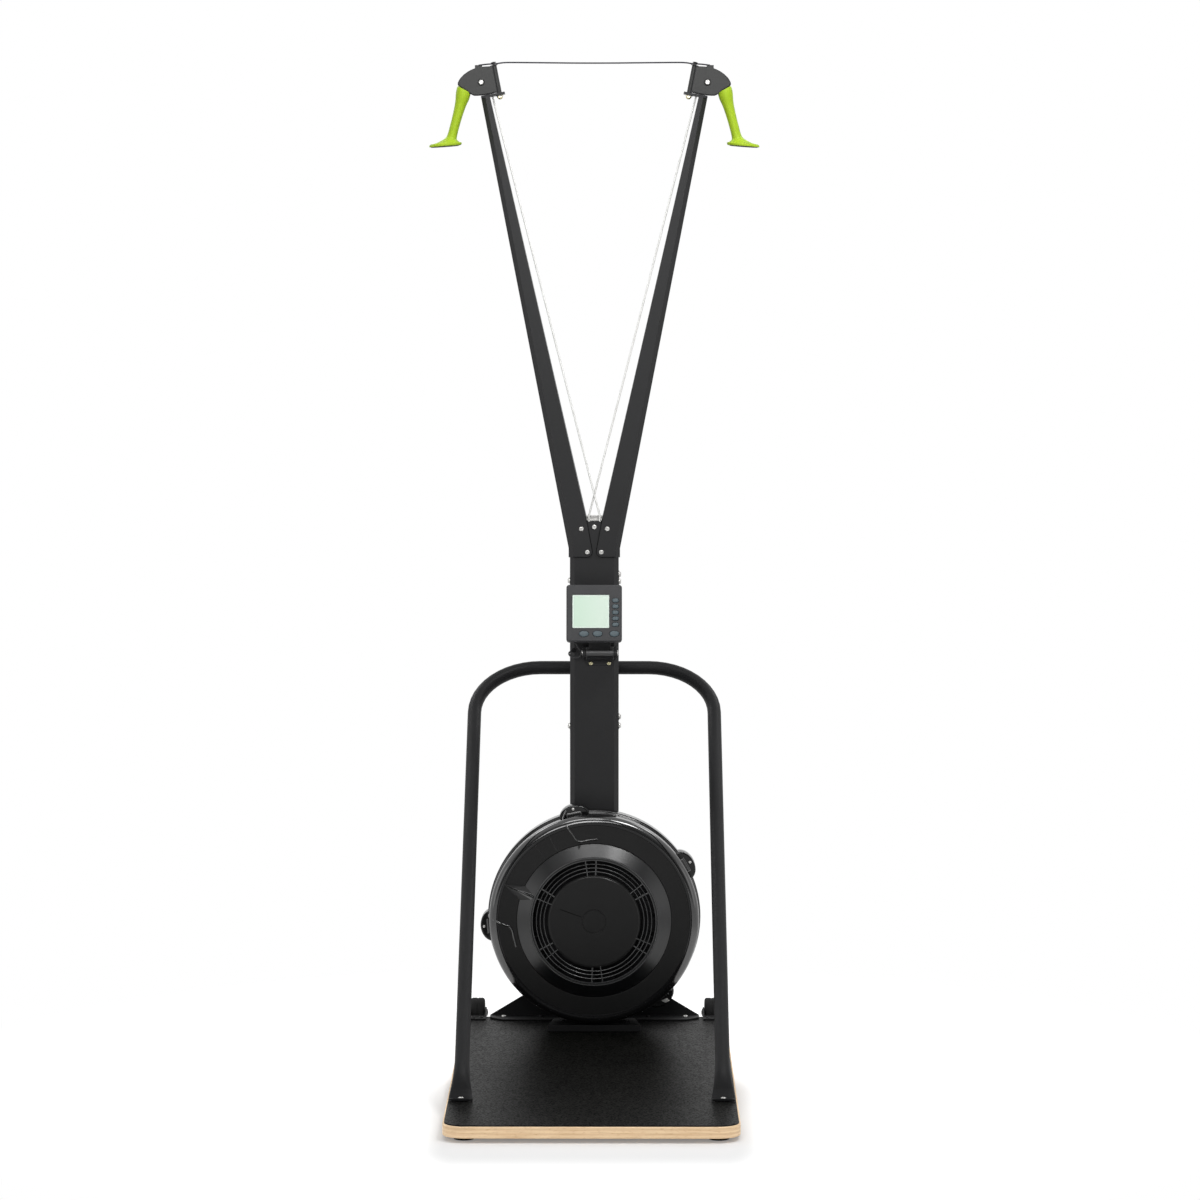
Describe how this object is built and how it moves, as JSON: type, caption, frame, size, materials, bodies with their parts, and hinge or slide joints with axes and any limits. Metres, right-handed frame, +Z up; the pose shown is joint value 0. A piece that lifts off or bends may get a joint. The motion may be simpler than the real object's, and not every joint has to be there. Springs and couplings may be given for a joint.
{
  "type": "ski trainer machine",
  "caption": "Standing double-pole ski trainer with a V-shaped mast, two pull handles on swivel heads, a fan flywheel housing, a tilting monitor and a deck with a support tube.",
  "frame": {"origin": "on the floor, under the centre of the footprint", "axes": "+X to the right as the user faces the machine, +Y forwards from the user to the mast, +Z up"},
  "size_m": [0.726, 1.298, 2.1679],
  "materials": {
    "ply_wood": "clear lacquer over birch ply, layers showing at the edge",
    "deck_film": "matt textured non-slip film",
    "black_rubber": "matt",
    "black_paint": "satin powder coat",
    "bright_steel": "zinc plated",
    "fan_steel": "plain sheet steel",
    "gloss_black": "glossy moulded",
    "black_nylon": "moulded nylon",
    "lime_grip": "soft matt moulded grip",
    "white_cord": "braided cord",
    "black_cord": "covered cord",
    "case_grey": "fine matt moulded",
    "key_slate": "matt moulded key",
    "screen_green": "clear window over a pale green display"
  },
  "bodies": {
    "machine": {"deck_board": "ply_wood", "deck_surface": "deck_film", "foot_front_right": "black_rubber", "foot_front_left": "black_rubber", "foot_rear_right": "black_rubber", "foot_rear_left": "black_rubber", "wheel_bracket_right": "black_paint", "wheel_bracket_left": "black_paint", "mast_gusset": "black_paint", "mast_foot_bracket": "black_paint", "support_tube": "black_paint", "support_clamp": "black_paint", "mast": "black_paint", "arm_right": "black_paint", "arm_left": "black_paint", "cord_guide": "bright_steel", "swivel_pin_right": "bright_steel", "swivel_pin_left": "bright_steel", "drive_cord_right": "white_cord", "drive_cord_left": "white_cord", "tie_cord": "black_cord", "housing_rear": "gloss_black", "housing_front": "gloss_black", "bearing_front": "bright_steel", "bearing_rear": "bright_steel", "return_cord": "black_cord", "monitor_bracket": "black_paint", "monitor_cable": "black_cord"},
    "fan": {"flywheel": "fan_steel", "drive_shaft": "bright_steel"},
    "front_spool": {"spool_front": "black_nylon"},
    "rear_spool": {"spool_rear": "black_nylon"},
    "return_wheel": {"return_pulley": "black_nylon"},
    "air_damper": {"damper": "gloss_black"},
    "monitor": {"monitor_arm": "black_paint", "monitor_case": "case_grey", "monitor_screen": "screen_green"},
    "right_wheel": {"transport_wheel_right": "black_rubber"},
    "right_head": {"head_frame_right": "black_paint", "pulley_axle_right": "bright_steel", "head_cord_right": "white_cord", "tie_cord_end_right": "black_cord"},
    "right_head_pulley": {"head_pulley_right": "black_nylon"},
    "right_handle": {"handle_right": "lime_grip"},
    "left_wheel": {"transport_wheel_left": "black_rubber"},
    "left_head": {"head_frame_left": "black_paint", "pulley_axle_left": "bright_steel", "head_cord_left": "white_cord", "tie_cord_end_left": "black_cord"},
    "left_head_pulley": {"head_pulley_left": "black_nylon"},
    "left_handle": {"handle_left": "lime_grip"},
    "side_key_1_body": {"side_key_1": "key_slate"},
    "side_key_2_body": {"side_key_2": "key_slate"},
    "side_key_3_body": {"side_key_3": "key_slate"},
    "side_key_4_body": {"side_key_4": "key_slate"},
    "side_key_5_body": {"side_key_5": "key_slate"},
    "bottom_key_1_body": {"bottom_key_1": "key_slate"},
    "bottom_key_2_body": {"bottom_key_2": "key_slate"},
    "bottom_key_3_body": {"bottom_key_3": "key_slate"}
  },
  "joints": [
    {"name": "flywheel_spin", "type": "hinge", "parent": "machine", "child": "fan", "pos_m": [0, 0.477, 0.287], "axis": [0, 1, 0], "continuous": true},
    {"name": "front_spool_spin", "type": "hinge", "parent": "machine", "child": "front_spool", "pos_m": [0, 0.499, 0.287], "axis": [0, 1, 0], "continuous": true},
    {"name": "rear_spool_spin", "type": "hinge", "parent": "machine", "child": "rear_spool", "pos_m": [0, 0.523, 0.287], "axis": [0, 1, 0], "continuous": true},
    {"name": "return_pulley_spin", "type": "hinge", "parent": "machine", "child": "return_wheel", "pos_m": [-0.002, 0.5565, 1.04], "axis": [0, 1, 0], "continuous": true},
    {"name": "damper_turn", "type": "hinge", "parent": "machine", "child": "air_damper", "pos_m": [0, 0.477, 0.287], "axis": [0, 1, 0], "range_deg": [-18, 42]},
    {"name": "monitor_tilt", "type": "hinge", "parent": "machine", "child": "monitor", "pos_m": [0.0125, 0.458, 0.8682], "axis": [1, 0, 0], "range_deg": [-8, 55], "deforming": ["monitor_cable"]},
    {"name": "right_wheel_spin", "type": "hinge", "parent": "machine", "child": "right_wheel", "pos_m": [0.264, 0.616, 0.038], "axis": [1, 0, 0], "continuous": true},
    {"name": "right_head_swivel", "type": "hinge", "parent": "machine", "child": "right_head", "pos_m": [0.2088, 0.496, 2.1], "axis": [-0.1908, 0, -0.9816], "range_deg": [0, 80]},
    {"name": "right_head_pulley_spin", "type": "hinge", "parent": "right_head", "child": "right_head_pulley", "pos_m": [0.2482, 0.496, 2.1224], "axis": [0, 1, 0], "continuous": true},
    {"name": "right_handle_pull", "type": "slide", "parent": "right_head", "child": "right_handle", "axis": [0.2622, 0, -0.965], "range_m": [0, 1.1], "stiffness_N_per_m": 15, "springref_m": -1.5},
    {"name": "left_wheel_spin", "type": "hinge", "parent": "machine", "child": "left_wheel", "pos_m": [-0.264, 0.616, 0.038], "axis": [1, 0, 0], "continuous": true},
    {"name": "left_head_swivel", "type": "hinge", "parent": "machine", "child": "left_head", "pos_m": [-0.2088, 0.496, 2.1], "axis": [-0.1908, 0, 0.9816], "range_deg": [0, 80]},
    {"name": "left_head_pulley_spin", "type": "hinge", "parent": "left_head", "child": "left_head_pulley", "pos_m": [-0.2482, 0.496, 2.1224], "axis": [0, 1, 0], "continuous": true},
    {"name": "left_handle_pull", "type": "slide", "parent": "left_head", "child": "left_handle", "axis": [-0.2622, 0, -0.965], "range_m": [0, 1.1], "stiffness_N_per_m": 15, "springref_m": -1.5},
    {"name": "side_key_1_press", "type": "slide", "parent": "monitor", "child": "side_key_1_body", "axis": [0, 0.9848, -0.1736], "range_m": [0, 0.001], "stiffness_N_per_m": 300},
    {"name": "side_key_2_press", "type": "slide", "parent": "monitor", "child": "side_key_2_body", "axis": [0, 0.9848, -0.1736], "range_m": [0, 0.001], "stiffness_N_per_m": 300},
    {"name": "side_key_3_press", "type": "slide", "parent": "monitor", "child": "side_key_3_body", "axis": [0, 0.9848, -0.1736], "range_m": [0, 0.001], "stiffness_N_per_m": 300},
    {"name": "side_key_4_press", "type": "slide", "parent": "monitor", "child": "side_key_4_body", "axis": [0, 0.9848, -0.1736], "range_m": [0, 0.001], "stiffness_N_per_m": 300},
    {"name": "side_key_5_press", "type": "slide", "parent": "monitor", "child": "side_key_5_body", "axis": [0, 0.9848, -0.1736], "range_m": [0, 0.001], "stiffness_N_per_m": 300},
    {"name": "bottom_key_1_press", "type": "slide", "parent": "monitor", "child": "bottom_key_1_body", "axis": [0, 0.9848, -0.1736], "range_m": [0, 0.001], "stiffness_N_per_m": 300},
    {"name": "bottom_key_2_press", "type": "slide", "parent": "monitor", "child": "bottom_key_2_body", "axis": [0, 0.9848, -0.1736], "range_m": [0, 0.001], "stiffness_N_per_m": 300},
    {"name": "bottom_key_3_press", "type": "slide", "parent": "monitor", "child": "bottom_key_3_body", "axis": [0, 0.9848, -0.1736], "range_m": [0, 0.001], "stiffness_N_per_m": 300}
  ],
  "couplings": [
    {"joint": "return_pulley_spin", "follows": "right_handle_pull", "rad_per_m": -33.74},
    {"joint": "rear_spool_spin", "follows": "right_handle_pull", "rad_per_m": -30.96},
    {"joint": "front_spool_spin", "follows": "left_handle_pull", "rad_per_m": -30.96},
    {"joint": "right_head_pulley_spin", "follows": "right_handle_pull", "rad_per_m": 41.15},
    {"joint": "left_head_pulley_spin", "follows": "left_handle_pull", "rad_per_m": -41.15}
  ]
}
